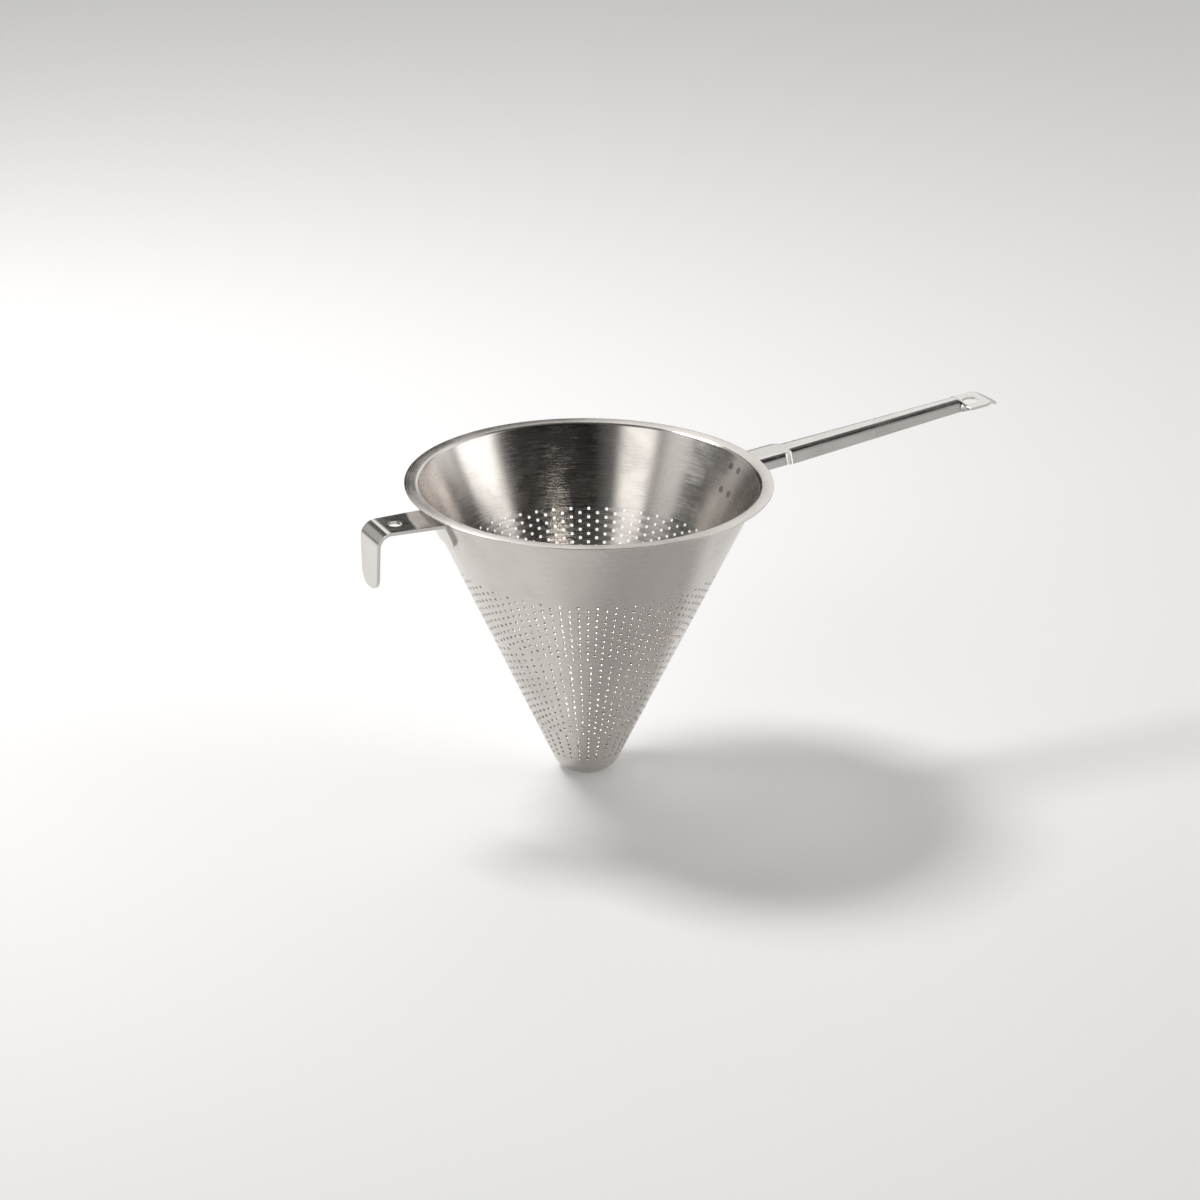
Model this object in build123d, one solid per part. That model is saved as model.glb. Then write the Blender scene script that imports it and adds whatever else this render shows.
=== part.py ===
from build123d import *

import math
import os

# Chinois strainer, in millimetres: +Z up, +X along the handle, the hook on the other side.
# The origin is the centre of the tip's flat underside.

# Strainer body: one piece of sheet, pressed and spun
body_height = 181.0           # tip to the flange's top
mouth_radius = 100.0          # outside of the cone, carried up to the flange's top
foot_radius = 16.34           # outside of the cone, carried down to the tip's flat underside
body_sheet = 0.9
flange_width = 7.0
tip_bend = 12.0               # outer radius between the cone and the tip's flat underside
rim_bend = 1.6                # radius between the cone and the flange's underside

# Perforation: rows of round holes, square to the sheet
hole_diameter = 2.0
row_land = 0.525              # metal between neighbouring rows, where their columns are staggered
tip_row_land = 1.8            # metal between neighbouring rows near the tip, where they aren't
plain_band = 52.4             # down the slope from the flange's top to the highest row
tip_margin = 7.6              # up the slope from the tip's bend to the lowest row
seam_angle = 2.4              # degrees, where the round faces start, clear of every hole
rows_in_a_face = 3
points_on_an_edge = 4
skin_passes = 4               # steps that bring a point of a hole's edge onto the skin

# Zones of rows: where each starts and how far it runs down the perforated stretch,
# its holes in a row, the land between its rows, and whether every other row is staggered
upper_zone_shares = (0.0, 0.327)
middle_zone_shares = (0.363, 0.461)
tip_zone_shares = (0.856, 0.145)
zones = (
    (upper_zone_shares, 45, row_land, True),
    (middle_zone_shares, 30, row_land, True),
    (tip_zone_shares, 30, tip_row_land, False),
)

# Hook: one bent strip
hook_sheet = 2.0
hook_width = 28.0             # at the cone
hook_crease_width = 24.6      # where the arm turns down into the leg
hook_end_width = 21.0
hook_end_corner = 8.0
hook_drop = 7.0               # flange's top to the arm's top
hook_reach = 38.0             # mouth radius to the leg's outer face
hook_bend = 9.0               # outer radius between the arm and the leg
hook_leg = 35.5               # arm's top to the leg's end
hook_tang = 18.0              # down the cone from the arm's top
hook_tang_bend = 3.5          # outer radius between the tang and the arm
hook_tang_corner = 8.0
hook_hole_radius = 4.25
hook_hole_reach = 22.0        # mouth radius to the hole's centre

# Handle: one pressed strip
handle_sheet = 1.5
handle_rise = 6.5             # degrees above level
handle_tang = 30.0            # down the cone from the flange's underside
handle_tang_bend = 3.0        # outer radius between the tang and the root
handle_tang_corner = 5.0
root_width = 19.2
root_side = 7.0
root_length = 17.0            # flange's edge to the shoulder
shoulder_length = 6.0
grip_width = 12.4             # flat top of the gutter, at the shoulder
grip_side = 9.0
grip_length = 118.0
grip_end_width = 7.6
grip_end_side = 7.4
channel_bend = 1.1            # inner radius between the top and the sides
side_flare = 14.0             # degrees, the sides' lean outwards
tongue_width = 23.0
tongue_drop = 4.0             # grip's top to the tongue's top
tongue_step = 3.5             # length of the slope between them
tongue_length = 15.0          # foot of that slope to the nose
tongue_bend = 1.5             # inner radius of the tongue's bends
tongue_corner = 4.5
nose_length = 8.0
nose_turn = 32.0              # degrees, the nose's bend downwards
nose_width = 11.0
hang_hole_radius = 5.0
hang_hole_reach = 5.5         # foot of the slope to the hole's centre

# Welds: nuggets that fill the tangs' thickness up to a shallow dimple
weld_radius = 2.5
weld_dimple = 0.25
weld_inset = 7.5              # tang's ends to the nearest weld
hook_weld_spacing = 14.0
handle_weld_spacing = 9.0

cut_overrun = 5.0

# Half-sections are drawn in (radius, height). Slope distances run up the cone's outer line
# from its apex below the tip, and depths go in from that line, square to it.
lean = math.atan((mouth_radius - foot_radius) / body_height)
apex_depth = foot_radius / math.tan(lean)
up_slope = Vector(math.sin(lean), math.cos(lean))
outwards = Vector(math.cos(lean), -math.sin(lean))
level = Vector(1, 0)
flange_radius = mouth_radius + flange_width
flange_underside = body_height - body_sheet


def on_slope(distance, depth=0.0):
    """Point of the half-section at a slope distance and a depth."""
    return up_slope * distance - outwards * depth - Vector(0, apex_depth)


def slope_distance(height, depth=0.0):
    """Slope distance of the point at a height and a depth."""
    return (height + apex_depth - depth * math.sin(lean)) / math.cos(lean)


def skin_depth(radius, height):
    """Depth of the point at a radius and a height."""
    return ((height + apex_depth) * math.tan(lean) - radius) * math.cos(lean)


def upright_plane(angle):
    """Plane through the cone's axis, with its x outwards at an angle and its y up."""
    return Plane((0, 0, 0), x_dir=(math.cos(angle), math.sin(angle), 0),
                 z_dir=(math.sin(angle), -math.cos(angle), 0))


def bend(corner, way_in, way_out, radius):
    """Arc that rounds a corner of a half-section."""
    turn = math.radians(way_in.get_angle(way_out))
    reach = radius * math.tan(turn / 2)
    sagitta = radius / math.cos(turn / 2) - radius
    middle = corner + (way_out - way_in).normalized() * sagitta
    return Edge.make_three_point_arc(corner - way_in * reach, middle, corner + way_out * reach)


def strip(points, thickness, inner_radius):
    """Section of a bent sheet: one face of it runs through the points, the other to their right."""
    points = [Vector(*point) for point in points]
    ways = [(b - a).normalized() for a, b in zip(points, points[1:])]
    rights = [Vector(way.Y, -way.X) for way in ways]
    far_points = [points[0] + rights[0] * thickness]
    near_radii = [0]
    far_radii = [0]
    for point, before, after in zip(points[1:], rights, rights[1:]):
        far_points.append(point + (before + after) * (thickness / (1 + before.dot(after))))
        turns_right = before.cross(after).Z < 0
        near_radii.append(inner_radius + thickness if turns_right else inner_radius)
        far_radii.append(inner_radius if turns_right else inner_radius + thickness)
    far_points.append(points[-1] + rights[-1] * thickness)
    near_radii.append(0)
    far_radii.append(0)
    outline = points + far_points[::-1]
    return make_face(FilletPolyline(*outline, radius=near_radii + far_radii[::-1], close=True))


def tab(top_width, end_width, top, end, corner):
    """Outline across the strip: straight edges and two rounded corners at its lower end."""
    points = [(-top_width / 2, top), (-end_width / 2, end), (end_width / 2, end), (top_width / 2, top)]
    return make_face(FilletPolyline(*points, radius=[0, corner, corner, 0], close=True))


# Strainer body

top_row = slope_distance(body_height) - plain_band
lowest_row = slope_distance(0.0) + tip_bend * math.tan(math.pi / 4 - lean / 2) + tip_margin


def zone_rows(shares, land, staggered):
    """Slope distance and stagger of each row of one zone, from the top down."""
    start_share, length_share = shares
    perforated = top_row - lowest_row
    pitch = hole_diameter + land
    first = top_row - perforated * start_share
    count = int(perforated * length_share / pitch) + 1
    return [(first - pitch * i, 0.5 * (i % 2) if staggered else 0.5) for i in range(count)]


def face_limits():
    """Slope distances between rows at which the cone's two skins are divided into faces."""
    limits = []
    for shares, count, land, staggered in zones:
        distances = [distance for distance, stagger in zone_rows(shares, land, staggered)]
        half_pitch = (hole_diameter + land) / 2
        limits += [distance + half_pitch for distance in distances[::rows_in_a_face]]
        limits.append(distances[-1] - half_pitch)
    return sorted(limits)


def skin(depth):
    """Half-section line of the body's skin at a depth, from the axis to the flange's edge."""
    tip_corner = on_slope(slope_distance(depth, depth), depth)
    rim_height = flange_underside + depth
    rim_corner = on_slope(slope_distance(rim_height, depth), depth)
    tip_arc = bend(tip_corner, level, up_slope, tip_bend - depth)
    rim_arc = bend(rim_corner, up_slope, level, rim_bend + depth)
    points = [tip_arc @ 1] + [on_slope(limit, depth) for limit in face_limits()] + [rim_arc @ 0]
    slope_lines = [Edge.make_line(a, b) for a, b in zip(points, points[1:])]
    start = Edge.make_line((0, depth), tip_arc @ 0)
    end = Edge.make_line(rim_arc @ 1, (flange_radius, rim_height))
    return [start, tip_arc] + slope_lines + [rim_arc, end]


def hole_edge(angle, distance, depth):
    """Edge of a hole where it meets the skin at a depth."""
    plane = upright_plane(angle)
    centre = plane.from_local_coords(on_slope(distance))
    normal = plane.from_local_coords(outwards)
    along = plane.from_local_coords(up_slope)
    across = plane.z_dir
    points = []
    for i in range(points_on_an_edge):
        step = 2 * math.pi * i / points_on_an_edge
        point = centre + (across * math.cos(step) + along * math.sin(step)) * (hole_diameter / 2)
        for _ in range(skin_passes):
            point += normal * (skin_depth(math.hypot(point.X, point.Y), point.Z) - depth)
        points.append(point)
    return Edge.make_spline(points, periodic=True)


def make_holes():
    """Each hole's slope distance, with its edges on the outer and the inner skin."""
    holes = []
    for shares, count, land, staggered in zones:
        for distance, stagger in zone_rows(shares, land, staggered):
            for i in range(count):
                angle = 2 * math.pi * (i + stagger) / count
                edges = [hole_edge(angle, distance, depth) for depth in (0.0, body_sheet)]
                holes.append((distance, edges))
    return holes


def pierced(face, holes):
    """A face of the cone with the edges of the holes that fall in it."""
    circles = face.edges().filter_by(GeomType.CIRCLE)
    ends = [Vector(circle.radius, circle.arc_center.Z + apex_depth) for circle in circles]
    low, high = sorted(end.dot(up_slope) for end in ends)
    side = 0 if skin_depth(ends[0].X, ends[0].Y - apex_depth) < body_sheet / 2 else 1
    rims = [Wire([edges[side]]) for distance, edges in holes if low < distance < high]
    return face.make_holes(rims) if rims else face


def make_body():
    """The body as one closed shell: its skins with the holes in them, and the holes' walls."""
    under = skin(0.0)
    over = skin(body_sheet)
    flange_edge = Edge.make_line(under[-1] @ 1, over[-1] @ 1)
    axis_line = Edge.make_line(over[0] @ 0, under[0] @ 0)
    section = Plane.XZ * Face(Wire(under + [flange_edge] + over + [axis_line]))
    blank = revolve(section, Axis.Z).rotate(Axis.Z, seam_angle)
    holes = make_holes()
    faces = []
    for face in blank.faces():
        faces.append(pierced(face, holes) if face.geom_type == GeomType.CONE else face)
    walls = [Face.make_surface_from_curves(*edges) for distance, edges in holes]
    return Solid(Shell(faces + walls))


# Tangs and their welds, both at the +X side

def make_tang(section, outline, reach):
    """Part of a strip that lies on the cone and turns out level, as far out as a reach."""
    return revolve(Plane.XZ * section, Axis.Z) & extrude(Plane.YZ * outline, reach)


def weld_places(distances, spacing):
    """Plane at each weld on the cone's outside, with its z square to the cone."""
    places = []
    for distance in distances:
        for side in (-1, 1):
            point = on_slope(distance)
            plane = upright_plane(side * spacing / 2 / point.X)
            places.append(Plane(plane.from_local_coords(point), z_dir=plane.from_local_coords(outwards)))
    return places


def weld_cores(places, height):
    """A cylinder at each weld that reaches a height above the cone's outside and as far below."""
    return [plane * Cylinder(weld_radius, 2 * height) for plane in places]


def make_welds(places, thickness):
    """The nuggets: their inner ends lie on the cone, their outer ends a dimple below the tang."""
    height = thickness - weld_dimple
    top = slope_distance(body_height)
    corners = [on_slope(0.0), on_slope(top), on_slope(top, -height), on_slope(0.0, -height)]
    band = revolve(Plane.XZ * make_face(Polyline(*corners, close=True)), Axis.Z)
    nuggets = [band & core for core in weld_cores(places, thickness)]
    return Compound(children=[solid for nugget in nuggets for solid in nugget.solids()])


# Hook, modelled at +X and turned to -X

hook_top = body_height - hook_drop
hook_radius = mouth_radius + hook_reach


def make_hook():
    """The hook and its welds."""
    corner_distance = slope_distance(hook_top)
    lower = corner_distance - hook_tang
    inner_radius = hook_tang_bend - hook_sheet
    corner = on_slope(corner_distance)
    level_start = corner.X + hook_tang_bend * math.tan(math.pi / 4 - lean / 2)
    leg_top = hook_top - hook_bend - hook_sheet

    tang_end = on_slope(lower, -hook_sheet).Y
    tang_reach = math.hypot(level_start, hook_width / 2)
    tang_section = strip([on_slope(lower), corner, (tang_reach, hook_top)], hook_sheet, inner_radius)
    tang_outline = tab(hook_width, hook_width, hook_top, tang_end, hook_tang_corner)
    tang = make_tang(tang_section, tang_outline, level_start)

    arm_points = [(level_start, hook_top), (hook_radius, hook_top), (hook_radius, leg_top)]
    arm_section = Plane.XZ * strip(arm_points, hook_sheet, hook_bend - hook_sheet)
    half, half_crease = hook_width / 2, hook_crease_width / 2
    bend_start = hook_radius - hook_bend
    right_edge = [(level_start, -half), (bend_start, -half_crease), (hook_radius, -half_crease)]
    left_edge = [(x, -y) for x, y in reversed(right_edge)]
    arm_outline = make_face(Polyline(*right_edge, *left_edge, close=True))
    arm = extrude(arm_section, half, both=True) & extrude(arm_outline, body_height)

    leg_outline = tab(hook_crease_width, hook_end_width, leg_top, hook_top - hook_leg, hook_end_corner)
    leg = extrude(Plane.YZ.offset(hook_radius - hook_sheet) * leg_outline, hook_sheet)

    places = weld_places([lower + weld_inset], hook_weld_spacing)
    hole = Pos(mouth_radius + hook_hole_reach, 0, hook_top) * Cylinder(hook_hole_radius, cut_overrun)
    hook = tang + arm + leg - hole - weld_cores(places, hook_sheet + cut_overrun)
    half_turn = 180
    return hook.rotate(Axis.Z, half_turn), make_welds(places, hook_sheet).rotate(Axis.Z, half_turn)


# Handle

rise = math.radians(handle_rise)
along_handle = Vector(math.cos(rise), 0, math.sin(rise))
above_handle = Vector(-math.sin(rise), 0, math.cos(rise))
handle_start = Vector(flange_radius, 0, flange_underside)


def channel(plane, width, side):
    """Cross-section of the root or the grip: a flat top and two sides that lean outwards."""
    flare = math.radians(side_flare)
    foot = Vector(width / 2 + side * math.sin(flare), -side * math.cos(flare))
    points = [(-foot.X, foot.Y), (-width / 2, 0), (width / 2, 0), (foot.X, foot.Y)]
    return plane * strip(points, handle_sheet, channel_bend)


def make_grip():
    """Root, shoulder and grip, from the flange's edge to the step."""
    stations = (
        (root_length, root_width, root_side),
        (root_length + shoulder_length, grip_width, grip_side),
        (root_length + shoulder_length + grip_length, grip_end_width, grip_end_side),
    )
    sections = [channel(Plane(handle_start, x_dir=(0, 1, 0), z_dir=(1, 0, 0)), root_width, root_side)]
    for distance, width, side in stations:
        plane = Plane(handle_start + along_handle * distance, x_dir=(0, 1, 0), z_dir=along_handle)
        sections.append(channel(plane, width, side))
    return loft(sections, ruled=True)


def make_tongue():
    """Step, tongue with its hang hole, and nose, from the grip's end."""
    end = handle_start + along_handle * (root_length + shoulder_length + grip_length)
    side_view = Plane(end, x_dir=along_handle, z_dir=(0, -1, 0))
    top_view = Plane(end, x_dir=along_handle, z_dir=above_handle)
    nose_start = tongue_step + tongue_length
    nose = math.radians(nose_turn)
    tip = Vector(nose_start + nose_length * math.cos(nose), -tongue_drop - nose_length * math.sin(nose))
    line = [(0, 0), (tongue_step, -tongue_drop), (nose_start, -tongue_drop), (tip.X, tip.Y)]
    sheet = extrude(side_view * strip(line, handle_sheet, tongue_bend), tongue_width / 2, both=True)

    right_edge = [(0, -grip_end_width / 2), (tongue_step, -tongue_width / 2),
                  (nose_start - nose_length / 2, -tongue_width / 2), (tip.X, -nose_width / 2)]
    left_edge = [(x, -y) for x, y in reversed(right_edge)]
    radii = [0, 0, tongue_corner, tongue_corner]
    outline = FilletPolyline(*right_edge, *left_edge, radius=radii + radii[::-1], close=True)
    tongue = sheet & extrude(top_view * make_face(outline), nose_start, both=True)
    hole_place = top_view * Pos(tongue_step + hang_hole_reach, 0, -tongue_drop)
    return tongue - hole_place * Cylinder(hang_hole_radius, cut_overrun)


def make_handle():
    """The handle and its welds."""
    corner_distance = slope_distance(flange_underside)
    lower = corner_distance - handle_tang
    reach = math.hypot(flange_radius, root_width / 2)
    points = [on_slope(lower), on_slope(corner_distance), (reach, flange_underside)]
    section = strip(points, handle_sheet, handle_tang_bend - handle_sheet)
    tang_end = on_slope(lower, -handle_sheet).Y
    outline = tab(root_width, root_width, flange_underside, tang_end, handle_tang_corner)
    tang = make_tang(section, outline, flange_radius)
    places = weld_places([lower + weld_inset, corner_distance - weld_inset], handle_weld_spacing)
    handle = tang + make_grip() + make_tongue() - weld_cores(places, handle_sheet + cut_overrun)
    return handle, make_welds(places, handle_sheet)


hook, hook_welds = make_hook()
handle, handle_welds = make_handle()
nodes = {
    "strainer_body": make_body(),
    "hook": hook,
    "handle": handle,
    "hook_spot_welds": hook_welds,
    "handle_spot_welds": handle_welds,
}
os.makedirs("parts", exist_ok=True)
for name, shape in nodes.items():
    export_step(shape, f"parts/{name}.step", write_pcurves=False)
    print(name, len(shape.solids()), "solids", shape.bounding_box())
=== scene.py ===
"""Chinois strainer: the visual model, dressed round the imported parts, with a plain studio."""

import logging
import math
from dataclasses import dataclass, replace
from enum import Enum

import bmesh
import bpy
import numpy as np
from mathutils import Matrix, Vector


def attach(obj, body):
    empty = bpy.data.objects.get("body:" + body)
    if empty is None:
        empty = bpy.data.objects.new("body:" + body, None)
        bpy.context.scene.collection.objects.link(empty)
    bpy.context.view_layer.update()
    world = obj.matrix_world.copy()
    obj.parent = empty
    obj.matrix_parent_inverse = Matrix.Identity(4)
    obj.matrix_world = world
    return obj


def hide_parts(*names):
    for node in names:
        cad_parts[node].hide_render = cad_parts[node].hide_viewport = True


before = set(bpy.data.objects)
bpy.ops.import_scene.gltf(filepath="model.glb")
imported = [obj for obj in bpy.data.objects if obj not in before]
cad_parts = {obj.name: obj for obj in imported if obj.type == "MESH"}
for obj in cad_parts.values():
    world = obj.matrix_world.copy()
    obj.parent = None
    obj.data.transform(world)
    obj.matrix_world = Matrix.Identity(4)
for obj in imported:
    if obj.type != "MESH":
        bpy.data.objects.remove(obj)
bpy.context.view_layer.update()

Socket = bpy.types.NodeSocket
Pair = tuple[float, float]
Triple = tuple[float, float, float]
LOG = logging.getLogger("chinois")
MM = 0.001
BODY = "root"
EDGE_ANGLE = math.radians(50)


class Brushing(Enum):
    """Which way the fine scratches of a steel finish run."""

    ROUND = "round the cone"
    ALONG = "along the strip"


class Nodes:
    """Short calls for building a node tree."""

    def __init__(self, tree: bpy.types.NodeTree) -> None:
        """Takes the tree and empties it.

        Args:
            tree: the node tree of a material or the world.
        """
        self.tree = tree
        tree.nodes.clear()

    def node(self, kind: str, **settings: object) -> bpy.types.Node:
        """Adds a node and sets its properties and inputs.

        Args:
            kind: node type without the ShaderNode prefix.
            settings: properties by name, and inputs by socket name with spaces as underscores.

        Returns:
            The new node.
        """
        made = self.tree.nodes.new("ShaderNode" + kind)
        for name, value in settings.items():
            if hasattr(made, name):
                setattr(made, name, value)
            else:
                made.inputs[name.replace("_", " ")].default_value = value
        return made

    def join(self, output: Socket, target: Socket) -> None:
        """Links an output to an input."""
        self.tree.links.new(output, target)

    def maths(self, operation: str, first: object, second: object = 0.0) -> Socket:
        """Adds a Math node.

        Args:
            operation: the node's operation.
            first: a socket or a number.
            second: a socket or a number.

        Returns:
            The node's output socket.
        """
        made = self.tree.nodes.new("ShaderNodeMath")
        made.operation = operation
        for socket, value in zip(made.inputs, (first, second)):
            if isinstance(value, Socket):
                self.join(value, socket)
            else:
                socket.default_value = value
        return made.outputs[0]

    def spread(self, value: Socket, low: float, high: float,
               to_low: float, to_high: float) -> Socket:
        """Maps a value smoothly from one range to another.

        Args:
            value: the socket to map.
            low: start of the value's range.
            high: end of the value's range.
            to_low: result at the start.
            to_high: result at the end.

        Returns:
            The mapped value.
        """
        made = self.node("MapRange", interpolation_type="SMOOTHSTEP")
        self.join(value, made.inputs["Value"])
        limits = {"From Min": low, "From Max": high, "To Min": to_low, "To Max": to_high}
        for name, number in limits.items():
            made.inputs[name].default_value = number
        return made.outputs["Result"]

    def noise(self, place: Socket, **settings: float) -> Socket:
        """Adds a noise texture over a place, with its inputs by name."""
        made = self.node("TexNoise", **settings)
        self.join(place, made.inputs["Vector"])
        return made.outputs[0]

    def vector(self, operation: str, first: Socket, second: object = None) -> bpy.types.Node:
        """Adds a Vector Math node.

        Args:
            operation: the node's operation.
            first: the socket it works on.
            second: a fixed vector, for an operation on two.

        Returns:
            The node.
        """
        made = self.node("VectorMath", operation=operation)
        self.join(first, made.inputs[0])
        if second is not None:
            made.inputs[1].default_value = second
        return made

    def parts(self, vector: Socket) -> bpy.types.NodeOutputs:
        """Splits a vector into its outputs X, Y and Z."""
        made = self.node("SeparateXYZ")
        self.join(vector, made.inputs[0])
        return made.outputs

    def combined(self, *parts: Socket) -> Socket:
        """Joins up to three numbers into a vector."""
        made = self.node("CombineXYZ")
        for part, target in zip(parts, made.inputs):
            self.join(part, target)
        return made.outputs[0]


@dataclass(frozen=True)
class SatinSteel:
    """Stainless sheet with a fine brushed finish, faint handling marks and slow waviness."""

    name: str
    colour: Triple
    brushing: Brushing
    roughness: float
    anisotropy: float
    wave_depth: float
    weld_marks: tuple[Triple, ...] = ()
    strip_stretch: Triple = (45.0, 2600.0, 2600.0)
    round_stretch: float = 5.0
    upward_stretch: float = 2200.0
    smear_roughness: float = 0.08
    scratch_strength: float = 0.08
    scratch_depth: float = 0.004 * MM
    mark_radius: float = 1.5 * MM
    mark_edge: float = 2.6 * MM
    mark_shade: float = 0.45

    def material(self) -> bpy.types.Material:
        """Builds the material."""
        made = bpy.data.materials.new(self.name)
        made.use_nodes = True
        nodes = Nodes(made.node_tree)
        steel = nodes.node("BsdfPrincipled", Metallic=1.0, Anisotropic=self.anisotropy,
                           Anisotropic_Rotation=0.25)
        nodes.join(steel.outputs[0], nodes.node("OutputMaterial").inputs[0])
        place = nodes.node("TexCoord").outputs["Object"]
        grain = nodes.noise(self.grain_place(nodes, place), Scale=1.0, Detail=4.0, Roughness=0.65)
        smears = nodes.noise(place, Scale=38.0, Detail=5.0, Roughness=0.6, Distortion=0.4)
        wave = nodes.noise(place, Scale=11.0, Detail=1.0, Roughness=0.4)
        self.dress_colour(nodes, steel, grain, smears, place)
        self.dress_surface(nodes, steel, grain, wave)
        if self.brushing is Brushing.ROUND:
            tangent = nodes.node("Tangent", direction_type="RADIAL", axis="Z")
            nodes.join(tangent.outputs[0], steel.inputs["Tangent"])
        return made

    def grain_place(self, nodes: Nodes, place: Socket) -> Socket:
        """Stretches the texture place so that noise on it becomes fine scratches.

        Args:
            nodes: the material's nodes.
            place: object coordinates, in metres.

        Returns:
            The stretched coordinates.
        """
        if self.brushing is Brushing.ALONG:
            stretch = nodes.node("Mapping")
            stretch.inputs["Scale"].default_value = self.strip_stretch
            nodes.join(place, stretch.inputs["Vector"])
            return stretch.outputs[0]
        parts = nodes.parts(place)
        flat = nodes.combined(parts["X"], parts["Y"])
        way = nodes.parts(nodes.vector("NORMALIZE", flat).outputs[0])
        radius = nodes.vector("LENGTH", flat).outputs["Value"]
        up = nodes.maths("ADD", parts["Z"], radius)
        return nodes.combined(nodes.maths("MULTIPLY", way["X"], self.round_stretch),
                              nodes.maths("MULTIPLY", way["Y"], self.round_stretch),
                              nodes.maths("MULTIPLY", up, self.upward_stretch))

    def dress_colour(self, nodes: Nodes, steel: bpy.types.Node, grain: Socket,
                     smears: Socket, place: Socket) -> None:
        """Gives the steel its colour, a little darker in the scratches and at the weld marks.

        Args:
            nodes: the material's nodes.
            steel: the surface shader.
            grain: the scratches' noise.
            smears: the handling marks' noise.
            place: object coordinates.
        """
        shade = nodes.maths("MULTIPLY", nodes.spread(grain, 0.3, 0.7, 0.93, 1.03),
                            nodes.spread(smears, 0.35, 0.7, 1.0, 0.95))
        for mark in self.weld_marks:
            away = nodes.vector("DISTANCE", place, mark).outputs["Value"]
            ring = nodes.spread(away, self.mark_radius, self.mark_edge, self.mark_shade, 1.0)
            shade = nodes.maths("MULTIPLY", shade, ring)
        tint = nodes.node("Mix", data_type="RGBA", blend_type="MULTIPLY", Factor=1.0)
        tint.inputs["A"].default_value = (*self.colour, 1.0)
        grey = nodes.node("CombineColor")
        for channel in grey.inputs:
            nodes.join(shade, channel)
        nodes.join(grey.outputs[0], tint.inputs["B"])
        nodes.join(tint.outputs["Result"], steel.inputs["Base Color"])
        smeared = self.roughness + self.smear_roughness
        rough = nodes.maths("ADD", nodes.spread(grain, 0.25, 0.75, -0.05, 0.06),
                            nodes.spread(smears, 0.4, 0.75, self.roughness, smeared))
        nodes.join(rough, steel.inputs["Roughness"])

    def dress_surface(self, nodes: Nodes, steel: bpy.types.Node, grain: Socket,
                      wave: Socket) -> None:
        """Gives the surface its scratches and the slow waves of formed sheet.

        Args:
            nodes: the material's nodes.
            steel: the surface shader.
            grain: the scratches' noise.
            wave: the slow waves' noise.
        """
        waves = nodes.node("Bump", Strength=1.0, Distance=self.wave_depth)
        nodes.join(wave, waves.inputs["Height"])
        scratches = nodes.node("Bump", Strength=self.scratch_strength, Distance=self.scratch_depth)
        nodes.join(grain, scratches.inputs["Height"])
        nodes.join(waves.outputs[0], scratches.inputs["Normal"])
        nodes.join(scratches.outputs[0], steel.inputs["Normal"])


def smooth_step(value: float) -> float:
    """Eases a share from 0 to 1."""
    value = min(max(value, 0.0), 1.0)
    return value * value * (3 - 2 * value)


def make_object(name: str, mesh: bpy.types.Mesh) -> bpy.types.Object:
    """Puts a mesh in the scene as an object.

    Args:
        name: the object's name.
        mesh: its mesh.

    Returns:
        The object.
    """
    made = bpy.data.objects.new(name, mesh)
    bpy.context.scene.collection.objects.link(made)
    return made


def finish_mesh(mesh: bpy.types.Mesh, weld_distance: float, sharp_degrees: float) -> None:
    """Joins doubled points, turns all faces outwards and shades the mesh smoothly.

    Args:
        mesh: the mesh to finish.
        weld_distance: points closer than this become one.
        sharp_degrees: edges that turn more than this stay crisp.
    """
    work = bmesh.new()
    work.from_mesh(mesh)
    bmesh.ops.remove_doubles(work, verts=work.verts, dist=weld_distance)
    bmesh.ops.recalc_face_normals(work, faces=work.faces)
    work.to_mesh(mesh)
    work.free()
    mesh.shade_smooth()
    mesh.set_sharp_from_angle(angle=math.radians(sharp_degrees))


@dataclass
class Cone:
    """Sizes of the sheet cone that the strainer's parts share, in metres."""

    height: float = 181.0 * MM
    mouth_radius: float = 100.0 * MM
    foot_radius: float = 16.34 * MM
    sheet: float = 0.9 * MM
    flange_width: float = 7.0 * MM

    @property
    def lean(self) -> float:
        """Angle between the cone's slope and its axis."""
        return math.atan((self.mouth_radius - self.foot_radius) / self.height)

    @property
    def apex_depth(self) -> float:
        """Distance from the tip's underside down to the slope's apex."""
        return self.foot_radius / math.tan(self.lean)

    @property
    def flange_radius(self) -> float:
        """Radius of the flange's edge."""
        return self.mouth_radius + self.flange_width

    @property
    def flange_underside(self) -> float:
        """Height of the flange's underside."""
        return self.height - self.sheet

    def slope_distance(self, height: float, depth: float = 0.0) -> float:
        """Distance up the slope from the apex of a point at a height and a depth."""
        return (height + self.apex_depth - depth * math.sin(self.lean)) / math.cos(self.lean)

    def on_slope(self, distance: float | np.ndarray, depth: float = 0.0) -> Pair:
        """Radius and height of one or many points at a slope distance and a depth."""
        lean = self.lean
        radius = distance * math.sin(lean) - depth * math.cos(lean)
        return radius, distance * math.cos(lean) + depth * math.sin(lean) - self.apex_depth


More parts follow.
